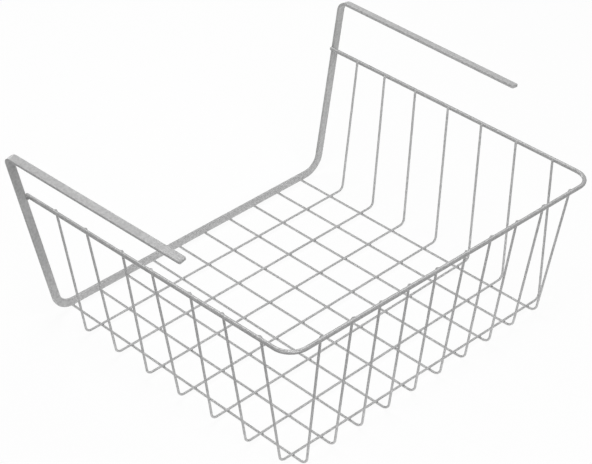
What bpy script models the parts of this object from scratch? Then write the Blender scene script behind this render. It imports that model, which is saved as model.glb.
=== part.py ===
"""Under-shelf wire basket: a welded wire cage hung from one bent flat strip.

Metres, +Z up. The basket's own axes: X runs across the shelf edge (right is +X,
seen from the user's side), Y runs back under the shelf, and Z = 0 is the
underside of the lowest wires. Y = 0 is the middle plane of the flat strip's
bottom bar, at the open front. An empty then moves the whole basket, so that the
world origin lies under the middle of its outer box.

The cage is welded from round wire, so neighbouring wires lie WELD_GAP apart here
and are otherwise exactly stacked: depth wires lowest, cross wires and the strip's
bottom bar on them, and the tops of all wires against the inner side of the rim.
"""

import math

import bmesh
import bpy
from mathutils import Matrix, Vector

# Stock
WIRE_DIAMETER = 0.0018
RIM_DIAMETER = 0.0032
STRIP_WIDTH = 0.0063
STRIP_THICKNESS = 0.0023
WELD_GAP = 0.0003
WIRE_END_EASE = 0.0003

# Floor grid
SIDE_WALL_RUN = 0.0175
REAR_WALL_RUN = 0.0173
CROSS_COUNT = 7
CROSS_START = 0.0346
CROSS_REAR_INSET = 0.0088
CROSS_BEND_RADIUS = 0.0048
LAST_CROSS_RIGHT_SHIFT = -0.0040
LAST_CROSS_LEFT_SHIFT = 0.0018
LAST_CROSS_RIGHT_INSET = 0.0033
DEPTH_COUNT = 10
DEPTH_EDGE_INSET = 0.0136
DEPTH_DRIFT = 0.0015
DEPTH_BEND_RADIUS = 0.0065
DEPTH_OVERHANG = 0.0006

# Rim, at its centre line; the welded rim is a little racked, as in the photo
RIM_HEIGHT = 0.1152
RIM_FRONT_HALF_WIDTH = 0.1517
RIM_FRONT_DRIFT = 0.0004
RIM_REAR_NARROWING = 0.0024
RIM_DEPTH = 0.2647
RIM_SKEW = 0.0021
RIM_FRONT_RIGHT_LIFT = 0.0014
RIM_REAR_RIGHT_LIFT = 0.0037
RIM_REAR_LEFT_LIFT = 0.0005
RIM_CORNER_RADIUS = 0.0145
RIM_RIGHT_OVERHANG = 0.0008
RIM_LEFT_INSET = 0.0015
LEG_SHORTFALL = 0.0005

# Lean of each leg's top against its foot, as shares of the pitch: front to rear, left to right
RIGHT_LEG_LEAN_SHARES = (-0.15, -0.20, -0.09, -0.22, -0.10, -0.19, -0.05)
LEFT_LEG_LEAN_SHARES = (0.01, -0.12, -0.17, -0.18, -0.20, -0.21, -0.25)
REAR_LEG_LEAN_SHARES = (-0.20, -0.12, -0.06, -0.06, -0.10, -0.02, -0.02, -0.01, -0.05, 0.02)

# Flat strip: a U in the front plane, with two arms folded back over the shelf
BAR_BEND_RADIUS = 0.0155
FOLD_RADIUS = 0.0070
ARM_LENGTH = 0.1825
ARM_END_RADIUS = 0.0012
STRIP_EDGE_RADIUS = 0.0004
RIGHT_FOLD_HEIGHT = 0.1578
LEFT_FOLD_HEIGHT = 0.1536
RIGHT_FLARE_SHARE = 0.230
LEFT_FLARE_SHARE = 0.153
STRIP_LEAN_SHARE = 0.025
ARM_TOE_IN_SHARE = 0.0095
RIGHT_ARM_RISE_SHARE = 0.012
LEFT_ARM_RISE_SHARE = -0.009

# Facets
WIRE_BEND_STEP = math.radians(9)
RIM_BEND_STEP = math.radians(6)
STRIP_BEND_STEP = math.radians(5)
FOLD_BEND_STEP = math.radians(9)
WIRE_RESOLUTION = 6
RIM_RESOLUTION = 6
STRIP_EDGE_SEGMENTS = 3
SHARP_ANGLE = math.radians(40)

# Finish: pale grey powder coat over steel
COAT_COLOUR = (0.42, 0.42, 0.42, 1.0)
COAT_ROUGHNESS = 0.45
COAT_METALLIC = 0.15

RIGHT = 1
LEFT = -1

WIRE_RADIUS = WIRE_DIAMETER / 2
RIM_RADIUS = RIM_DIAMETER / 2
DEPTH_HEIGHT = WIRE_RADIUS
CROSS_HEIGHT = WIRE_DIAMETER + WELD_GAP + WIRE_RADIUS
BAR_HEIGHT = WIRE_DIAMETER + WELD_GAP + STRIP_WIDTH / 2
RIM_REAR_HALF_WIDTH = RIM_FRONT_HALF_WIDTH - RIM_REAR_NARROWING
FLOOR_HALF_WIDTH = RIM_FRONT_HALF_WIDTH - SIDE_WALL_RUN
FLOOR_DEPTH = RIM_DEPTH - REAR_WALL_RUN
CROSS_PITCH = (FLOOR_DEPTH - CROSS_REAR_INSET - CROSS_START) / (CROSS_COUNT - 1)
DEPTH_PITCH = 2 * (FLOOR_HALF_WIDTH - DEPTH_EDGE_INSET) / (DEPTH_COUNT - 1)


def clear_scene():
    """Remove every object, so that the script can run again in an open file."""
    for old in list(bpy.data.objects):
        bpy.data.objects.remove(old, do_unlink=True)


def make_material(name):
    """One grey powder coat for each sub-part."""
    material = bpy.data.materials.new(name)
    material.use_nodes = True
    shader = material.node_tree.nodes["Principled BSDF"]
    shader.inputs["Base Color"].default_value = COAT_COLOUR
    shader.inputs["Roughness"].default_value = COAT_ROUGHNESS
    shader.inputs["Metallic"].default_value = COAT_METALLIC
    return material


def rounded_path(corners, radii, step):
    """The polyline through the corners, with an arc of the given radius at each inner corner."""
    points = [corners[0]]
    for before, corner, after, radius in zip(corners, corners[1:], corners[2:], radii):
        arriving = (corner - before).normalized()
        leaving = (after - corner).normalized()
        turn = arriving.angle(leaving)
        axis = arriving.cross(leaving).normalized()
        start = corner - arriving * radius * math.tan(turn / 2)
        centre = start + axis.cross(arriving) * radius
        pieces = max(2, round(turn / step))
        for piece in range(pieces + 1):
            swing = Matrix.Rotation(turn * piece / pieces, 3, axis)
            points.append(centre + swing @ (start - centre))
    points.append(corners[-1])
    return points


def eased_end(end, inner, diameter):
    """Points and radius shares from a wire's cut end to where its full roundness starts."""
    inward = (inner - end).normalized()
    eased = []
    for angle in (math.radians(90), math.radians(45), math.radians(0)):
        along = WIRE_END_EASE * (1 - math.sin(angle))
        inset = WIRE_END_EASE * (1 - math.cos(angle))
        eased.append((end + inward * along, 1 - 2 * inset / diameter))
    return eased


def add_wire(name, points, diameter, resolution, datum, collection):
    """A round wire along the points, cut square at both ends, with the cuts' edges eased."""
    curve = bpy.data.curves.new(name, "CURVE")
    curve.dimensions = "3D"
    curve.bevel_depth = diameter / 2
    curve.bevel_resolution = resolution
    curve.use_fill_caps = True
    spline = curve.splines.new("POLY")
    start = eased_end(points[0], points[1], diameter)
    finish = eased_end(points[-1], points[-2], diameter)
    stations = start + [(point, 1.0) for point in points[1:-1]] + finish[::-1]
    spline.points.add(len(stations) - 1)
    for spot, (point, share) in zip(spline.points, stations):
        spot.co = (*point, 1.0)
        spot.radius = share
    curve.materials.append(make_material(name + "_coat"))
    wire = bpy.data.objects.new(name, curve)
    wire.parent = datum
    collection.objects.link(wire)
    return wire


def between(start, end, share):
    """The point at a share of the way from start to end."""
    return start + (end - start) * share


def rim_corner(side, rear):
    """A corner of the rim's centre line, before it is rounded."""
    if rear:
        half_width = RIM_REAR_HALF_WIDTH
        y = RIM_DEPTH - side * RIM_SKEW
        lift = RIM_REAR_RIGHT_LIFT if side == RIGHT else RIM_REAR_LEFT_LIFT
    else:
        half_width = RIM_FRONT_HALF_WIDTH + side * RIM_FRONT_DRIFT
        y = 0.0
        lift = RIM_FRONT_RIGHT_LIFT if side == RIGHT else 0.0
    return Vector((side * half_width, y, RIM_HEIGHT + lift))


def rim_side_point(side, y):
    """The rim's centre line at the given depth on one side."""
    front = rim_corner(side, False)
    rear = rim_corner(side, True)
    return between(front, rear, (y - front.y) / (rear.y - front.y))


def rim_rear_point(x):
    """The rim's centre line at the given width on the rear."""
    left = rim_corner(LEFT, True)
    right = rim_corner(RIGHT, True)
    return between(left, right, (x - left.x) / (right.x - left.x))


def leg_top(foot, rim_point, inward):
    """Where a leg ends: held against the rim's inner side, just below its middle."""
    rise = rim_point.z - foot.z
    run = (foot - rim_point).dot(inward)
    reach = (RIM_RADIUS + WELD_GAP + WIRE_RADIUS) * math.hypot(1, run / rise)
    beside_rim = rim_point + inward * reach
    return between(beside_rim, foot, LEG_SHORTFALL / rise)


def flare(side):
    return RIGHT_FLARE_SHARE if side == RIGHT else LEFT_FLARE_SHARE


def upright_point(side, height):
    """The strip's centre line on one upright, whose inner edge lies against the rim's end."""
    front = rim_corner(side, False)
    beside_rim = (RIM_RADIUS + WELD_GAP + STRIP_WIDTH / 2) * math.hypot(1, flare(side))
    x = abs(front.x) + beside_rim + flare(side) * (height - front.z)
    return Vector((side * x, STRIP_LEAN_SHARE * (height - BAR_HEIGHT), height))


def fold_point(side):
    return upright_point(side, RIGHT_FOLD_HEIGHT if side == RIGHT else LEFT_FOLD_HEIGHT)


def arm_end(side):
    fold = fold_point(side)
    rise = RIGHT_ARM_RISE_SHARE if side == RIGHT else LEFT_ARM_RISE_SHARE
    length = ARM_LENGTH - fold.y
    return fold + Vector((-side * ARM_TOE_IN_SHARE, 1.0, rise)) * length


def half_strip(side):
    """Stations (centre, across) of half the strip, from the middle of the bar to the arm's end."""
    middle = Vector((0.0, 0.0, BAR_HEIGHT))
    foot = upright_point(side, BAR_HEIGHT)
    fold = fold_point(side)
    bent = rounded_path([middle, foot, fold], [BAR_BEND_RADIUS], STRIP_BEND_STEP)
    folded = rounded_path([foot, fold, arm_end(side)], [FOLD_RADIUS], FOLD_BEND_STEP)
    points = bent[:-1] + folded[1:]
    across = Vector((0.0, -STRIP_LEAN_SHARE, -1.0)).normalized()
    heading = Vector((side, 0.0, 0.0))
    stations = [(points[0], across)]
    for before, point, after in zip(points, points[1:], points[2:] + points[-1:]):
        following = (after - before).normalized()
        across = heading.rotation_difference(following) @ across
        heading = following
        stations.append((point, across))
    return stations


def rounded_end(stations):
    """The same stations, with the two corners of the far end rounded."""
    end, across = stations[-1]
    heading = (end - stations[-2][0]).normalized()
    widths = [1.0] * (len(stations) - 1)
    trimmed = list(stations[:-1])
    for angle in (math.radians(0), math.radians(45), math.radians(90)):
        along = ARM_END_RADIUS * (1 - math.sin(angle))
        inset = ARM_END_RADIUS * (1 - math.cos(angle))
        trimmed.append((end - heading * along, across))
        widths.append(1 - 2 * inset / STRIP_WIDTH)
    return trimmed, widths


def add_strip(name, datum, collection):
    """The flat strip: an open ribbon along its middle surface, thickened and eased at the edges."""
    right, right_widths = rounded_end(half_strip(RIGHT))
    left, left_widths = rounded_end(half_strip(LEFT))
    stations = left[:0:-1] + right
    widths = left_widths[:0:-1] + right_widths
    ribbon = bmesh.new()
    rows = []
    for (centre, across), width in zip(stations, widths):
        reach = across * STRIP_WIDTH / 2 * width
        rows.append((ribbon.verts.new(centre - reach), ribbon.verts.new(centre + reach)))
    for (inner, outer), (next_inner, next_outer) in zip(rows, rows[1:]):
        ribbon.faces.new((inner, outer, next_outer, next_inner))
    mesh = bpy.data.meshes.new(name)
    ribbon.to_mesh(mesh)
    ribbon.free()
    mesh.materials.append(make_material(name + "_coat"))
    strip = bpy.data.objects.new(name, mesh)
    strip.parent = datum
    collection.objects.link(strip)
    thicken = strip.modifiers.new("thickness", "SOLIDIFY")
    thicken.thickness = STRIP_THICKNESS
    thicken.offset = 0
    thicken.use_even_offset = True
    ease = strip.modifiers.new("eased edges", "BEVEL")
    ease.width = STRIP_EDGE_RADIUS
    ease.segments = STRIP_EDGE_SEGMENTS
    ease.limit_method = "ANGLE"
    ease.angle_limit = math.radians(60)
    mesh.shade_smooth()
    mesh.set_sharp_from_angle(angle=SHARP_ANGLE)
    return strip


def rim_end(side):
    """The rim's cut end, beside the upright's inner edge."""
    height = rim_corner(side, False).z
    front_face = upright_point(side, height).y - STRIP_THICKNESS / 2
    inset = -RIM_RIGHT_OVERHANG if side == RIGHT else RIM_LEFT_INSET
    return rim_side_point(side, front_face + inset)


def add_rim(name, datum, collection):
    corners = [rim_end(RIGHT), rim_corner(RIGHT, True), rim_corner(LEFT, True), rim_end(LEFT)]
    points = rounded_path(corners, [RIM_CORNER_RADIUS] * 2, RIM_BEND_STEP)
    return add_wire(name, points, RIM_DIAMETER, RIM_RESOLUTION, datum, collection)


def add_cross_wire(index, datum, collection):
    """A U of wire across the floor, with a leg up each side wall."""
    y = CROSS_START + CROSS_PITCH * index
    corners = []
    for side, leans in ((RIGHT, RIGHT_LEG_LEAN_SHARES), (LEFT, LEFT_LEG_LEAN_SHARES)):
        foot = Vector((side * FLOOR_HALF_WIDTH, y, CROSS_HEIGHT))
        if index == CROSS_COUNT - 1:
            foot.y += LAST_CROSS_RIGHT_SHIFT if side == RIGHT else LAST_CROSS_LEFT_SHIFT
            foot.x -= LAST_CROSS_RIGHT_INSET if side == RIGHT else 0.0
        rim_point = rim_side_point(side, foot.y + leans[index % len(leans)] * CROSS_PITCH)
        top = leg_top(foot, rim_point, Vector((-side, 0.0, 0.0)))
        corners += [top, foot] if side == RIGHT else [foot, top]
    points = rounded_path(corners, [CROSS_BEND_RADIUS] * 2, WIRE_BEND_STEP)
    name = f"cross_wire_{index + 1}"
    return add_wire(name, points, WIRE_DIAMETER, WIRE_RESOLUTION, datum, collection)


def add_depth_wire(index, datum, collection):
    """An L of wire from under the bottom bar, back along the floor and up the rear wall."""
    x = (index - (DEPTH_COUNT - 1) / 2) * DEPTH_PITCH - DEPTH_DRIFT
    lean = REAR_LEG_LEAN_SHARES[index % len(REAR_LEG_LEAN_SHARES)] * DEPTH_PITCH
    front = Vector((x, -STRIP_THICKNESS / 2 - DEPTH_OVERHANG, DEPTH_HEIGHT))
    foot = Vector((x, FLOOR_DEPTH, DEPTH_HEIGHT))
    top = leg_top(foot, rim_rear_point(x + lean), Vector((0.0, -1.0, 0.0)))
    points = rounded_path([front, foot, top], [DEPTH_BEND_RADIUS], WIRE_BEND_STEP)
    name = f"depth_wire_{index + 1}"
    return add_wire(name, points, WIRE_DIAMETER, WIRE_RESOLUTION, datum, collection)


def box_middle():
    """The middle of the outer box: between the two folds, and from the rim's front end to its rear."""
    reaches = []
    for side in (RIGHT, LEFT):
        slope = math.atan(flare(side))
        edge = STRIP_WIDTH / 2 * math.cos(slope) + STRIP_THICKNESS / 2 * math.sin(slope)
        reaches.append(fold_point(side).x + side * edge)
    front = min(rim_end(RIGHT).y, rim_end(LEFT).y, -STRIP_THICKNESS / 2 - DEPTH_OVERHANG)
    rear = rim_corner(LEFT, True).y + RIM_RADIUS
    return Vector((sum(reaches) / 2, (front + rear) / 2, 0.0))


def main():
    clear_scene()
    collection = bpy.data.collections.new("under_shelf_basket")
    bpy.context.scene.collection.children.link(collection)
    datum = bpy.data.objects.new("basket_datum", None)
    datum.location = -box_middle()
    collection.objects.link(datum)
    add_strip("hanger_strip", datum, collection)
    add_rim("rim_wire", datum, collection)
    for index in range(CROSS_COUNT):
        add_cross_wire(index, datum, collection)
    for index in range(DEPTH_COUNT):
        add_depth_wire(index, datum, collection)


main()
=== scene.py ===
"""Under-shelf wire basket in pale grey powder coat, on a pale studio floor.

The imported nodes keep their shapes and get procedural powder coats. The welds that join them are
pieces made here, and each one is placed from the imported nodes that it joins. Metres, +Z up.
"""
import math
import random

import bpy
import numpy as np
from mathutils import Matrix, Vector


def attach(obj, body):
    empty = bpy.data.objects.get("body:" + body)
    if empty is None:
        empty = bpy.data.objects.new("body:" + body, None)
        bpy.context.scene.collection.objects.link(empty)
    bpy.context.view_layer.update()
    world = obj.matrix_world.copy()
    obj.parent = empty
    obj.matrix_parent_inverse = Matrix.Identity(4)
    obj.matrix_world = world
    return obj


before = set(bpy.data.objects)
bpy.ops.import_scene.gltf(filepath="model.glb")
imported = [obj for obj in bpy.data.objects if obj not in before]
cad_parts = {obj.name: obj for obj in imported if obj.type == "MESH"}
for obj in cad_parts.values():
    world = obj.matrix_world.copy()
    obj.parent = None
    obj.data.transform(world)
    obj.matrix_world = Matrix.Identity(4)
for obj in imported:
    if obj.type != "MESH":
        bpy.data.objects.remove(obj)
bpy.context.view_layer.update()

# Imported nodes
CROSS_COUNT = 7
DEPTH_COUNT = 10
CROSS_NAMES = [f"cross_wire_{number}" for number in range(1, CROSS_COUNT + 1)]
DEPTH_NAMES = [f"depth_wire_{number}" for number in range(1, DEPTH_COUNT + 1)]
WIRE_RADIUS = 0.0009
STRIP_WIDTH = 0.0063
STRIP_THICKNESS = 0.0023
WELD_GAP = 0.0003

# Directions of the row frame
X, Y, Z = range(3)
ACROSS = Vector((1, 0, 0))
BACK = Vector((0, 1, 0))
UP = Vector((0, 0, 1))

# Camera, solved from the wires of the photograph
IMAGE_WIDTH_PIXELS = 592
FOCAL_PIXELS = 1862.016
SENSOR_WIDTH = 36.0
CAMERA_POSITION = Vector((0.778854, 0.772414, 0.849017))
CAMERA_RIGHT = Vector((-0.711636, 0.702546, 0.001956))
CAMERA_UP = Vector((-0.403137, -0.410630, 0.817841))
CAMERA_BACK = Vector((0.575374, 0.581216, 0.575441))
CAMERA_CLIP_END = 100

# World and floor
WORLD_STRENGTH = 0.08
FLOOR_REACH = 30.0
FLOOR_GLOW = 0.895
FLOOR_SHADE = 0.10
TABLE_REACH = 0.17
TABLE_EDGE = 0.03
TABLE_LEVEL = 1.40
SURROUND_LEVEL = 0.42

# Lamps
LAMP_AIM = Vector((0, 0, 0.06))
SOFTBOXES = (
    # name, azimuth and elevation in degrees, distance and size in metres, share of plain level
    ("light_right", 160.0, 35.0, 2.2, 1.1, 0.37),
    ("light_near", 110.0, 40.0, 2.2, 1.1, 0.25),
    ("light_left", 290.0, 58.0, 2.2, 1.3, 0.29),
    ("light_high", 341.6, 57.3, 0.88, 0.45, 0.24),
    ("light_top", 135.0, 75.0, 1.8, 0.35, 0.13),
    ("light_front", 355.0, 10.0, 2.2, 0.7, 0.20),
)

# Coats
COATS = {
    # name: tone, seed, gloss, roughness, strength of the orange peel, share of metal
    "wire": (0.43, 2.0, 0.35, 0.30, 0.50, 0.0),
    "rim": (0.36, 4.0, 0.35, 0.26, 0.10, 0.25),
    "strip": (0.415, 9.0, 0.35, 0.30, 0.50, 0.0),
    # The weld coat is darker than the wires: partly the welds' own colour, partly painted shade of the
    # crevices at the crossings and where the rim meets the uprights.
    "weld": (0.25, 6.0, 0.35, 0.30, 0.50, 0.0),
    "leg_weld": (0.35, 8.0, 0.35, 0.30, 0.50, 0.0),
}
COAT_PATTERNS = (
    # scale per metre, detail, step from the coat's seed
    (22.0, 3.0, 0.0),  # blotch
    (520.0, 2.0, 7.3),  # mottle
    (2400.0, 2.0, 1.7),  # speckle
    (720.0, 2.0, 3.1),  # orange peel
    (5200.0, 1.0, 5.9),  # grain
)
NOISE_LOW = 0.3
NOISE_HIGH = 0.7
BLOTCH_SWING = 0.035
SPECKLE_SWING = 0.06
MOTTLE_SWING = 0.16
BLOTCH_ROUGHNESS = 0.03
SPECKLE_ROUGHNESS = 0.04
PEEL_DEPTH = 0.00014
GRAIN_DEPTH = 0.00001
GRAIN_STRENGTH = 0.25
EASED_RADIUS = 0.0004
EASED_SAMPLES = 8

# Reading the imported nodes: decimals kept of their corners
POINT_DIGITS = 7
EDGE_DIGITS = 6

# How far apart the corners of one end may lie
FRONT_END_SLACK = 0.0004
FLOOR_RUN_SLACK = 0.0002
LEG_END_SLACK = 0.0005

# The floor lies below FLOOR_RUN_TOP, a leg is straight for more than LEG_RING_STEP under its end,
# and only the uprights have edges that rise by more than UPRIGHT_EDGE
FLOOR_RUN_TOP = 0.02
LEG_RING_STEP = 0.003
UPRIGHT_EDGE = 0.1

# Form of all welds
WELD_SEED = 41
WELD_SIDES = 12
WELD_RINGS = 7
WELD_PINCH = 0.30
BEAD_FULLNESS = 0.94
SIZE_SHARE = 0.10
FLOOR_WELD_SHARE = 0.20
LEG_BEAD_SHARE = 0.15

# Saddle welds: half the height, and half the width at the waist, at the near wire and at the far one
FLOOR_WELD = (0.00068, 0.00090, 0.00165, 0.00165)
BAR_WELD = (0.00060, 0.00095, 0.0017, 0.0014)
LEG_WELD = (0.0008, 0.0010, 0.0013, 0.0016)
TIP_WELD = (0.0008, 0.0010, 0.0012, 0.0014)
RIM_END_WELD = (0.0011, 0.0009, 0.0013, 0.0017)

# Beads: half the width, half the depth and half the height
RIGHT_LEG_BEAD = (0.0021, 0.0012, 0.0008)
REAR_LEG_BEAD = (0.0021, 0.0012, 0.0012)
RIM_CORNER_BEAD = (0.0012, 0.0012, 0.0017)

# Places of the welds
BAR_WELD_INSET = 0.0008
LEG_WELD_DROP = 0.0006
LEG_WELD_GAP_SHARE = 0.9
LEG_BEAD_OUT = 0.0004
TIP_WELD_RISE = 0.0006
RIM_END_WELD_DROP = 0.0003
RIM_CORNER_RISE = 0.0002
RIM_CORNER_BACK = 0.0003

# Tips of the left wall's legs
TIP_REACH = 0.0022
TIP_RINGS = (
    # share of the reach, step from there, share of the wire's radius
    (0, -0.0006, 0.96),
    (0, 0.0, 1.02),
    (1, -0.0006, 1.06),
    (1, -0.0003, 0.92),
    (1, -0.0001, 0.66),
    (1, 0.0, 0.30),
)

chance = random.Random(WELD_SEED)


def vary(value, share=SIZE_SHARE):
    """The value, made larger or smaller by chance, by the share at most."""
    return value * (1 + chance.uniform(-share, share))


def math_node(tree, operation, first, second):
    """A Math node whose two inputs are sockets or numbers."""
    node = tree.nodes.new("ShaderNodeMath")
    node.operation = operation
    for socket, value in zip(node.inputs, (first, second)):
        if isinstance(value, (int, float)):
            socket.default_value = value
        else:
            tree.links.new(value, socket)
    return node.outputs[0]


def noise(tree, place, seed, pattern):
    """A 4D noise, so that each seed gives its own pattern."""
    scale, detail, step = pattern
    node = tree.nodes.new("ShaderNodeTexNoise")
    node.noise_dimensions = "4D"
    node.inputs["Scale"].default_value = scale
    node.inputs["Detail"].default_value = detail
    node.inputs["W"].default_value = seed + step
    tree.links.new(place, node.inputs["Vector"])
    return node.outputs["Fac"]


def spread(tree, value, middle, swing):
    """Noise spread over the middle and a swing each way.

    It lies between NOISE_LOW and NOISE_HIGH for the most part, and what lies beyond is cut off.
    """
    node = tree.nodes.new("ShaderNodeMapRange")
    node.inputs["From Min"].default_value = NOISE_LOW
    node.inputs["From Max"].default_value = NOISE_HIGH
    node.inputs["To Min"].default_value = middle - swing
    node.inputs["To Max"].default_value = middle + swing
    tree.links.new(value, node.inputs["Value"])
    return node.outputs["Result"]


def bump(tree, height, distance, strength, normal):
    """The normal with one more layer of bumps on it."""
    node = tree.nodes.new("ShaderNodeBump")
    node.inputs["Distance"].default_value = distance
    node.inputs["Strength"].default_value = strength
    tree.links.new(height, node.inputs["Height"])
    tree.links.new(normal, node.inputs["Normal"])
    return node.outputs["Normal"]


def powder_coat(name, tone, seed, gloss, roughness, peel_strength, metal):
    """Satin powder coat: blotches, mottle and speckle in its tone, orange peel, grain and eased facets."""
    material = bpy.data.materials.new(name)
    material.use_nodes = True
    tree = material.node_tree
    shader = tree.nodes["Principled BSDF"]
    place = tree.nodes.new("ShaderNodeTexCoord").outputs["Object"]
    blotch, mottle, speckle, peel, grain = (noise(tree, place, seed, pattern) for pattern in COAT_PATTERNS)

    blotches = spread(tree, blotch, 1, BLOTCH_SWING)
    speckles = spread(tree, speckle, 1, SPECKLE_SWING)
    mottles = spread(tree, mottle, tone, MOTTLE_SWING * tone)
    level = math_node(tree, "MULTIPLY", blotches, speckles)
    level = math_node(tree, "MULTIPLY", level, mottles)
    colour = tree.nodes.new("ShaderNodeCombineColor")
    for channel in colour.inputs:
        tree.links.new(level, channel)
    tree.links.new(colour.outputs["Color"], shader.inputs["Base Color"])

    duller = spread(tree, blotch, BLOTCH_ROUGHNESS, BLOTCH_ROUGHNESS)
    uneven = spread(tree, speckle, roughness, SPECKLE_ROUGHNESS)
    tree.links.new(math_node(tree, "ADD", duller, uneven), shader.inputs["Roughness"])
    shader.inputs["Specular IOR Level"].default_value = gloss
    shader.inputs["Metallic"].default_value = metal

    eased = tree.nodes.new("ShaderNodeBevel")
    eased.samples = EASED_SAMPLES
    eased.inputs["Radius"].default_value = EASED_RADIUS
    normal = bump(tree, peel, PEEL_DEPTH, peel_strength, eased.outputs["Normal"])
    normal = bump(tree, grain, GRAIN_DEPTH, GRAIN_STRENGTH, normal)
    tree.links.new(normal, shader.inputs["Normal"])
    return material


def dress_nodes(wire_coat, rim_coat, strip_coat):
    """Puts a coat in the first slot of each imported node."""
    for name in CROSS_NAMES + DEPTH_NAMES:
        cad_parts[name].material_slots[0].material = wire_coat
    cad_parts["rim_wire"].material_slots[0].material = rim_coat
    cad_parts["hanger_strip"].material_slots[0].material = strip_coat


def node_points(name):
    """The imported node's corners, each once, in the row frame."""
    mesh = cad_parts[name].data
    flat = np.empty(len(mesh.vertices) * 3)
    mesh.vertices.foreach_get("co", flat)
    return np.unique(np.round(flat.reshape(-1, 3), POINT_DIGITS), axis=0)


def end_ring(points, axis, sign, slack):
    """The middle of the ring of corners that lies furthest along an axis."""
    reach = points[:, axis] * sign
    return Vector(points[reach > reach.max() - slack].mean(axis=0))


def depth_ends():
    """The front end of each depth wire."""
    return [end_ring(node_points(name), Y, -1, FRONT_END_SLACK) for name in DEPTH_NAMES]


def cross_ends():
    """The right and left end of each cross wire's straight run on the floor."""
    runs = []
    for name in CROSS_NAMES:
        points = node_points(name)
        low = points[points[:, Z] < FLOOR_RUN_TOP]
        runs.append([end_ring(low[low[:, X] * sign > 0], X, -sign, FLOOR_RUN_SLACK) for sign in (1, -1)])
    return runs


def leg_end(points):
    """The middle of a leg's cut end, and the leg's direction there."""
    top = end_ring(points, Z, 1, LEG_END_SLACK)
    below = points[points[:, Z] < top.z - LEG_RING_STEP]
    start = end_ring(below, Z, 1, LEG_END_SLACK)
    return top, (top - start).normalized()


def upright_line(sign):
    """The middle line of an upright: where its long edges start, and where they end."""
    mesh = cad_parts["hanger_strip"].data
    low, high = set(), set()
    for edge in mesh.edges:
        ends = (mesh.vertices[place].co.to_tuple(EDGE_DIGITS) for place in edge.vertices)
        start, end = sorted(ends, key=lambda spot: spot[Z])
        if start[X] * sign > 0 and end[Z] - start[Z] > UPRIGHT_EDGE:
            low.add(start)
            high.add(end)
    return Vector(np.mean(list(low), axis=0)), Vector(np.mean(list(high), axis=0))


def basis(out, along):
    """Columns: along, the third direction, and out, all square to each other."""
    out = out.normalized()
    along = (along - out * along.dot(out)).normalized()
    return Matrix((along, out.cross(along), out)).transposed()


class Shell:
    """Gathers rings of corners into one mesh of many closed forms."""

    def __init__(self):
        self.corners = []
        self.faces = []

    def add(self, rings):
        """One closed form: its rings joined from first to last, with a cap on both."""
        start = len(self.corners)
        sides = len(rings[0])
        last = start + (len(rings) - 1) * sides
        for ring in rings:
            self.corners.extend(ring)
        for low in range(start, last, sides):
            high = low + sides
            for side in range(sides):
                following = (side + 1) % sides
                self.faces.append((low + side, low + following, high + following, high + side))
        self.faces.append(tuple(start + side for side in reversed(range(sides))))
        self.faces.append(tuple(last + side for side in range(sides)))

    def finish(self, name, material):
        """The gathered forms as one piece of the basket."""
        mesh = bpy.data.meshes.new(name)
        mesh.from_pydata(self.corners, [], self.faces)
        mesh.validate()
        mesh.shade_smooth()
        mesh.materials.append(material)
        piece = bpy.data.objects.new(name, mesh)
        bpy.context.scene.collection.objects.link(piece)
        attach(piece, "root")


def oval(centre, axes, wide, deep, height):
    """A ring of corners, wide along the first of the axes and at a height along the last."""
    corners = []
    for side in range(WELD_SIDES):
        turn = 2 * math.pi * side / WELD_SIDES
        corners.append(centre + axes @ Vector((wide * math.cos(turn), deep * math.sin(turn), height)))
    return corners


def saddle(centre, out, along, sizes, share=SIZE_SHARE):
    """Rings of a weld between two crossing wires.

    out points from the near wire to the far one, and along lies along the far wire. The weld is
    narrow at its waist between them, and spreads along each wire where it runs up its side.
    """
    half, waist, near, far = sizes
    waist, near, far = vary(waist), vary(near, share), vary(far, share)
    axes = basis(out, along)
    rings = []
    for level in range(WELD_RINGS):
        height = 2 * level / (WELD_RINGS - 1) - 1
        far_pull = max(0.0, height) ** 2
        near_pull = max(0.0, -height) ** 2
        wide = waist + (far - waist) * far_pull - waist * WELD_PINCH * near_pull
        deep = waist + (near - waist) * near_pull - waist * WELD_PINCH * far_pull
        rings.append(oval(centre, axes, wide, deep, half * height))
    return rings


def bead(centre, axis, along, sizes, share=SIZE_SHARE):
    """Rings of a rounded bead. Its height follows axis, and its width follows along."""
    wide, deep, half = sizes
    wide, half = vary(wide, share), vary(half, share)
    axes = basis(axis, along)
    rings = []
    for level in range(WELD_RINGS):
        height = math.sin(math.pi * (level / (WELD_RINGS - 1) - 0.5) * BEAD_FULLNESS)
        taper = math.sqrt(1 - height ** 2)
        rings.append(oval(centre, axes, wide * taper, deep * taper, half * height))
    return rings


def leg_weld(shell, top, lean, out, along, bead_sizes):
    """The weld of a leg to the rim: a saddle between them, and a bead round the leg's end."""
    spot = top - lean * vary(LEG_WELD_DROP) + out * (WIRE_RADIUS + WELD_GAP * LEG_WELD_GAP_SHARE)
    shell.add(saddle(spot, out, along, LEG_WELD))
    centre = top - lean * LEG_WELD_DROP + out * LEG_BEAD_OUT
    shell.add(bead(centre, lean, along, bead_sizes, LEG_BEAD_SHARE))


def leg_tip(shell, top, lean, out, along):
    """The end of a leg that stands in front of the rim: it runs on up the rim's side to a rounded tip."""
    axes = basis(lean, along)
    reach = vary(TIP_REACH)
    rings = []
    for share, step, girth in TIP_RINGS:
        radius = WIRE_RADIUS * girth
        rings.append(oval(top, axes, radius, radius, reach * share + step))
    shell.add(rings)
    spot = top + lean * TIP_WELD_RISE + out * (WIRE_RADIUS + WELD_GAP / 2)
    shell.add(saddle(spot, out, along, TIP_WELD))


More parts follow.
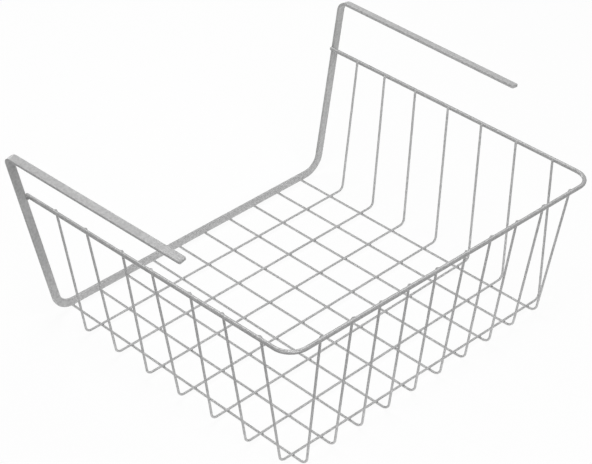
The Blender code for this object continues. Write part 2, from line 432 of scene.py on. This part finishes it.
def add_floor_welds(material):
    """A weld at each crossing of a cross wire and a depth wire."""
    depths = depth_ends()
    shell = Shell()
    for right, left in cross_ends():
        for depth in depths:
            share = (depth.x - right.x) / (left.x - right.x)
            spot = right.lerp(left, share)
            spot.z = (spot.z + depth.z) / 2
            shell.add(saddle(spot, UP, left - right, FLOOR_WELD, FLOOR_WELD_SHARE))
    shell.finish("welds_floor", material)


def add_bar_welds(material):
    """A weld between each depth wire and the strip's bottom bar, which lies on it."""
    depths = depth_ends()
    height = depths[0].z + WIRE_RADIUS + WELD_GAP / 2
    shell = Shell()
    for depth in depths:
        spot = Vector((depth.x, depth.y + BAR_WELD_INSET + STRIP_THICKNESS / 2, height))
        shell.add(saddle(spot, UP, ACROSS, BAR_WELD))
    shell.finish("welds_bar", material)


def add_leg_welds(side_coat, rear_coat):
    """The right and rear legs' welds and beads, and the left legs' tips."""
    for word, sign in (("right", 1), ("left", -1)):
        shell = Shell()
        out = ACROSS * sign
        for name in CROSS_NAMES:
            points = node_points(name)
            top, lean = leg_end(points[points[:, X] * sign > 0])
            if sign > 0:
                leg_weld(shell, top, lean, out, BACK, RIGHT_LEG_BEAD)
            else:
                leg_tip(shell, top, lean, out, BACK)
        shell.finish(f"welds_{word}", side_coat)
    shell = Shell()
    for name in DEPTH_NAMES:
        top, lean = leg_end(node_points(name))
        leg_weld(shell, top, lean, BACK, ACROSS, REAR_LEG_BEAD)
    shell.finish("welds_rear", rear_coat)


def add_rim_end_welds(material):
    """A weld between each end of the rim and its upright's inner edge, and a bead in the right corner."""
    rim = node_points("rim_wire")
    shell = Shell()
    for sign in (1, -1):
        end = end_ring(rim[rim[:, X] * sign > 0], Y, -1, FRONT_END_SLACK)
        low, high = upright_line(sign)
        rise = (high - low).normalized()
        foot = low + rise * (end - low).dot(rise)
        out = foot - end
        out.y = 0
        spot = foot - out.normalized() * (STRIP_WIDTH + WELD_GAP) / 2
        shell.add(saddle(spot - rise * RIM_END_WELD_DROP, out, rise, RIM_END_WELD))
        if sign > 0:
            corner = spot + rise * RIM_CORNER_RISE
            corner.y = foot.y + STRIP_THICKNESS / 2 + RIM_CORNER_BACK
            shell.add(bead(corner, rise, BACK, RIM_CORNER_BEAD))
    shell.finish("welds_rim_ends", material)


def seen_directly(tree):
    """1 for rays from the camera, from gloss and through glass, and 0 for diffuse light."""
    path = tree.nodes.new("ShaderNodeLightPath")
    seen = math_node(tree, "MAXIMUM", path.outputs["Is Camera Ray"], path.outputs["Is Glossy Ray"])
    return math_node(tree, "MAXIMUM", seen, path.outputs["Is Transmission Ray"])


def table_mask(tree, value):
    """1 on the table and 0 beyond its edge, with a soft step."""
    node = tree.nodes.new("ShaderNodeMapRange")
    node.interpolation_type = "SMOOTHSTEP"
    node.inputs["From Min"].default_value = TABLE_REACH - TABLE_EDGE
    node.inputs["From Max"].default_value = TABLE_REACH + TABLE_EDGE
    node.inputs["To Min"].default_value = 1
    node.inputs["To Max"].default_value = 0
    tree.links.new(value, node.inputs["Value"])
    return node.outputs["Result"]


def floor_material():
    """Near white to the eye and to gloss, with the basket's own soft shadow on it.

    To the light that it sends back it is a lit table under the basket, with no end to the left, in a
    plainer surround.
    """
    material = bpy.data.materials.new("studio_floor")
    material.use_nodes = True
    tree = material.node_tree
    tree.nodes.clear()
    seen = seen_directly(tree)

    shade = tree.nodes.new("ShaderNodeBsdfDiffuse")
    shade.inputs["Color"].default_value = (FLOOR_SHADE, FLOOR_SHADE, FLOOR_SHADE, 1)
    glow = tree.nodes.new("ShaderNodeEmission")
    glow.inputs["Strength"].default_value = FLOOR_GLOW
    pale = tree.nodes.new("ShaderNodeAddShader")
    tree.links.new(shade.outputs[0], pale.inputs[0])
    tree.links.new(glow.outputs[0], pale.inputs[1])

    place = tree.nodes.new("ShaderNodeSeparateXYZ")
    tree.links.new(tree.nodes.new("ShaderNodeNewGeometry").outputs["Position"], place.inputs[0])
    across = table_mask(tree, place.outputs["X"])
    depth = table_mask(tree, math_node(tree, "ABSOLUTE", place.outputs["Y"], 0))
    table = math_node(tree, "MULTIPLY", across, depth)
    level = math_node(tree, "MULTIPLY", table, TABLE_LEVEL - SURROUND_LEVEL)
    level = math_node(tree, "ADD", level, SURROUND_LEVEL)
    lit = tree.nodes.new("ShaderNodeEmission")
    tree.links.new(level, lit.inputs["Strength"])

    mix = tree.nodes.new("ShaderNodeMixShader")
    tree.links.new(seen, mix.inputs[0])
    tree.links.new(lit.outputs[0], mix.inputs[1])
    tree.links.new(pale.outputs[0], mix.inputs[2])
    out = tree.nodes.new("ShaderNodeOutputMaterial")
    tree.links.new(mix.outputs[0], out.inputs["Surface"])
    return material


def add_floor():
    """A wide pale floor that is part of the stage."""
    mesh = bpy.data.meshes.new("studio_floor")
    reach = FLOOR_REACH
    corners = [(-reach, -reach, 0), (reach, -reach, 0), (reach, reach, 0), (-reach, reach, 0)]
    mesh.from_pydata(corners, [], [(0, 1, 2, 3)])
    floor = bpy.data.objects.new("studio_floor", mesh)
    bpy.context.scene.collection.objects.link(floor)
    mesh.materials.append(floor_material())


def add_world():
    """White to the eye and to gloss, and a soft grey sky as a light."""
    world = bpy.data.worlds.new("studio")
    bpy.context.scene.world = world
    world.use_nodes = True
    tree = world.node_tree
    background = tree.nodes["Background"]
    background.inputs["Color"].default_value = (1, 1, 1, 1)
    extra = math_node(tree, "MULTIPLY", seen_directly(tree), 1 - WORLD_STRENGTH)
    strength = math_node(tree, "ADD", extra, WORLD_STRENGTH)
    tree.links.new(strength, background.inputs["Strength"])


def add_softbox(name, azimuth, elevation, distance, size, share):
    """A square area lamp aimed at the basket. A share of 1 would light a facing surface at plain level."""
    turn, lift = math.radians(azimuth), math.radians(elevation)
    way = Vector((math.sin(turn) * math.cos(lift), -math.cos(turn) * math.cos(lift), math.sin(lift)))
    lamp = bpy.data.lights.new(name, "AREA")
    lamp.shape = "SQUARE"
    lamp.size = size
    lamp.energy = share * math.pi ** 2 * distance ** 2
    holder = bpy.data.objects.new(name, lamp)
    holder.location = LAMP_AIM + way * distance
    holder.rotation_euler = way.to_track_quat("Z", "Y").to_euler()
    holder.visible_camera = False
    bpy.context.scene.collection.objects.link(holder)


def add_camera():
    """The photograph's camera."""
    camera = bpy.data.objects.new("camera", bpy.data.cameras.new("camera"))
    camera.data.sensor_width = SENSOR_WIDTH
    camera.data.lens = FOCAL_PIXELS * SENSOR_WIDTH / IMAGE_WIDTH_PIXELS
    camera.data.clip_end = CAMERA_CLIP_END
    pose = Matrix((CAMERA_RIGHT.normalized(), CAMERA_UP.normalized(), CAMERA_BACK.normalized()))
    pose = pose.transposed().to_4x4()
    pose.translation = CAMERA_POSITION
    camera.matrix_world = pose
    bpy.context.scene.collection.objects.link(camera)
    bpy.context.scene.camera = camera


add_camera()
add_world()
add_floor()
for softbox in SOFTBOXES:
    add_softbox(*softbox)
coats = {name: powder_coat(f"{name}_powder_coat", *look) for name, look in COATS.items()}
dress_nodes(coats["wire"], coats["rim"], coats["strip"])
# The floor welds' darker coat is partly painted shade of the crevice at each crossing.
add_floor_welds(coats["weld"])
add_bar_welds(coats["wire"])
add_leg_welds(coats["wire"], coats["leg_weld"])
# The rim end welds' darker coat is partly painted shade of the crevice where the rim meets each upright.
add_rim_end_welds(coats["weld"])
bpy.context.scene.view_settings.view_transform = "Standard"
